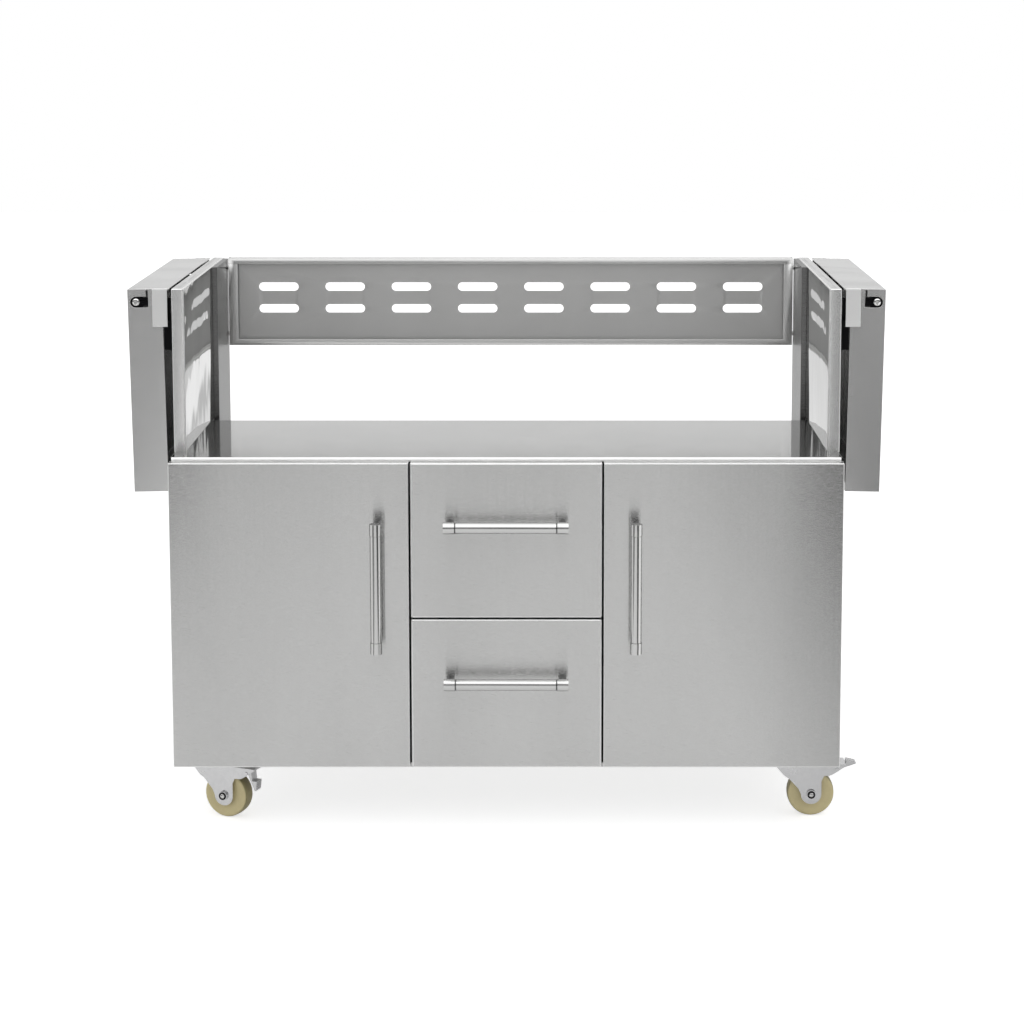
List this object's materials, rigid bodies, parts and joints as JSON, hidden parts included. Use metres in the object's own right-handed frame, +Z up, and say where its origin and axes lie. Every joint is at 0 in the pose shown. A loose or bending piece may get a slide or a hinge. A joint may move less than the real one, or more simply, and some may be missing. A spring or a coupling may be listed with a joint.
{
  "type": "grill cart with storage",
  "caption": "Stainless cart for a drop-in grill: doors and drawers under a walled deck, slotted rear panel, folding side shelves and swivel casters with brakes.",
  "frame": {"origin": "on the floor under the middle of the cart's overall box", "axes": "+X to the right as one faces the doors, +Y to the rear, +Z up"},
  "size_m": [1.2686, 0.644, 0.908],
  "materials": {
    "cabinet_steel": "brushed stainless sheet, vertical or level grain",
    "deck_steel": "smooth stainless sheet that mirrors softly",
    "wall_liner_steel": "bright stainless sheet that mirrors with slight waves",
    "back_panel_steel": "brushed stainless sheet with punched slots",
    "front_steel": "brushed stainless with level grain",
    "drawer_box_steel": "plain stainless sheet",
    "handle_steel": "polished stainless bar with grooved end caps",
    "shelf_steel": "brushed stainless sheet",
    "bracket_steel": "light satin steel",
    "hinge_steel": "plain steel plate",
    "fastener_steel": "bright turned steel",
    "runner_zinc": "zinc plated runner",
    "caster_zinc": "bright zinc plated pressing",
    "wheel_plastic": "beige nylon or urethane wheel",
    "pedal_zinc": "bright plated pedal",
    "bumper_rubber": "black rubber with a magnet inside",
    "catch_plastic": "grey magnetic catch"
  },
  "bodies": {
    "cart": {"base_pan": "cabinet_steel", "left_side_panel": "cabinet_steel", "right_side_panel": "cabinet_steel", "lower_back_panel": "cabinet_steel", "left_divider": "cabinet_steel", "right_divider": "cabinet_steel", "front_rails": "cabinet_steel", "front_stiles": "cabinet_steel", "deck": "deck_steel", "rear_ledge": "cabinet_steel", "left_upper_panel": "cabinet_steel", "right_upper_panel": "cabinet_steel", "left_upper_liner": "wall_liner_steel", "right_upper_liner": "wall_liner_steel", "back_panel": "back_panel_steel", "rear_posts": "cabinet_steel", "back_screws": "fastener_steel", "door_catches": "catch_plastic", "frame_hinge_leaves": "hinge_steel", "hinge_pins": "fastener_steel", "drawer_rails": "runner_zinc", "left_shelf_brackets": "bracket_steel", "right_shelf_brackets": "bracket_steel", "bracket_screws": "fastener_steel", "shelf_bolts": "fastener_steel", "shelf_bumpers": "bumper_rubber", "caster_plates": "caster_zinc"},
    "left_door": {"left_door_skin": "front_steel", "left_door_liner": "front_steel", "left_door_handle": "handle_steel", "left_door_hinges": "hinge_steel"},
    "right_door": {"right_door_skin": "front_steel", "right_door_liner": "front_steel", "right_door_handle": "handle_steel", "right_door_hinges": "hinge_steel"},
    "upper_drawer": {"upper_drawer_front": "front_steel", "upper_drawer_box": "drawer_box_steel", "upper_drawer_handle": "handle_steel", "upper_drawer_runners": "runner_zinc"},
    "upper_mid_runner": {"upper_mid_runners": "runner_zinc"},
    "lower_drawer": {"lower_drawer_front": "front_steel", "lower_drawer_box": "drawer_box_steel", "lower_drawer_handle": "handle_steel", "lower_drawer_runners": "runner_zinc"},
    "lower_mid_runner": {"lower_mid_runners": "runner_zinc"},
    "left_shelf_body": {"left_shelf": "shelf_steel", "left_shelf_pivots": "hinge_steel"},
    "right_shelf_body": {"right_shelf": "shelf_steel", "right_shelf_pivots": "hinge_steel"},
    "front_left_swivel": {"front_left_fork": "caster_zinc"},
    "front_left_roller": {"front_left_wheel": "wheel_plastic"},
    "front_left_brake": {"front_left_pedal": "pedal_zinc"},
    "front_right_swivel": {"front_right_fork": "caster_zinc"},
    "front_right_roller": {"front_right_wheel": "wheel_plastic"},
    "front_right_brake": {"front_right_pedal": "pedal_zinc"},
    "rear_left_swivel": {"rear_left_fork": "caster_zinc"},
    "rear_left_roller": {"rear_left_wheel": "wheel_plastic"},
    "rear_right_swivel": {"rear_right_fork": "caster_zinc"},
    "rear_right_roller": {"rear_right_wheel": "wheel_plastic"}
  },
  "joints": [
    {"name": "left_door_swing", "type": "hinge", "parent": "cart", "child": "left_door", "pos_m": [-0.5568, -0.246, 0.365], "axis": [0, 0, -1], "range_deg": [0, 105]},
    {"name": "right_door_swing", "type": "hinge", "parent": "cart", "child": "right_door", "pos_m": [0.5568, -0.246, 0.365], "axis": [0, 0, 1], "range_deg": [0, 105]},
    {"name": "upper_drawer_slide", "type": "slide", "parent": "cart", "child": "upper_drawer", "axis": [0, -1, 0], "range_m": [0, 0.38]},
    {"name": "upper_mid_runner_slide", "type": "slide", "parent": "cart", "child": "upper_mid_runner", "axis": [0, -1, 0], "range_m": [0, 0.19]},
    {"name": "lower_drawer_slide", "type": "slide", "parent": "cart", "child": "lower_drawer", "axis": [0, -1, 0], "range_m": [0, 0.38]},
    {"name": "lower_mid_runner_slide", "type": "slide", "parent": "cart", "child": "lower_mid_runner", "axis": [0, -1, 0], "range_m": [0, 0.19]},
    {"name": "left_shelf_fold", "type": "hinge", "parent": "cart", "child": "left_shelf_body", "pos_m": [-0.62, 0.065, 0.882], "axis": [0, 1, 0], "range_deg": [0, 90.9]},
    {"name": "right_shelf_fold", "type": "hinge", "parent": "cart", "child": "right_shelf_body", "pos_m": [0.62, 0.065, 0.882], "axis": [0, -1, 0], "range_deg": [0, 90.9]},
    {"name": "front_left_swivel_turn", "type": "hinge", "parent": "cart", "child": "front_left_swivel", "pos_m": [-0.496, -0.192, 0.092], "axis": [0, 0, 1], "continuous": true},
    {"name": "front_left_wheel_roll", "type": "hinge", "parent": "front_left_swivel", "child": "front_left_roller", "pos_m": [-0.4756, -0.20024, 0.04], "axis": [0.3746, 0.9272, 0], "continuous": true},
    {"name": "front_left_brake_press", "type": "hinge", "parent": "front_left_swivel", "child": "front_left_brake", "pos_m": [-0.43481, -0.21672, 0.083], "axis": [0.3746, 0.9272, 0], "range_deg": [-85, 0]},
    {"name": "front_right_swivel_turn", "type": "hinge", "parent": "cart", "child": "front_right_swivel", "pos_m": [0.496, -0.192, 0.092], "axis": [0, 0, 1], "continuous": true},
    {"name": "front_right_wheel_roll", "type": "hinge", "parent": "front_right_swivel", "child": "front_right_roller", "pos_m": [0.518, -0.192, 0.04], "axis": [0, 1, 0], "continuous": true},
    {"name": "front_right_brake_press", "type": "hinge", "parent": "front_right_swivel", "child": "front_right_brake", "pos_m": [0.562, -0.192, 0.083], "axis": [0, 1, 0], "range_deg": [0, 85]},
    {"name": "rear_left_swivel_turn", "type": "hinge", "parent": "cart", "child": "rear_left_swivel", "pos_m": [-0.496, 0.238, 0.092], "axis": [0, 0, 1], "continuous": true},
    {"name": "rear_left_wheel_roll", "type": "hinge", "parent": "rear_left_swivel", "child": "rear_left_roller", "pos_m": [-0.47465, 0.24332, 0.04], "axis": [-0.2419, 0.9703, 0], "continuous": true},
    {"name": "rear_right_swivel_turn", "type": "hinge", "parent": "cart", "child": "rear_right_swivel", "pos_m": [0.496, 0.238, 0.092], "axis": [0, 0, 1], "continuous": true},
    {"name": "rear_right_wheel_roll", "type": "hinge", "parent": "rear_right_swivel", "child": "rear_right_roller", "pos_m": [0.51773, 0.23456, 0.04], "axis": [0.1564, 0.9877, 0], "continuous": true}
  ],
  "couplings": [
    {"joint": "upper_mid_runner_slide", "follows": "upper_drawer_slide", "ratio": 0.5},
    {"joint": "lower_mid_runner_slide", "follows": "lower_drawer_slide", "ratio": 0.5}
  ]
}
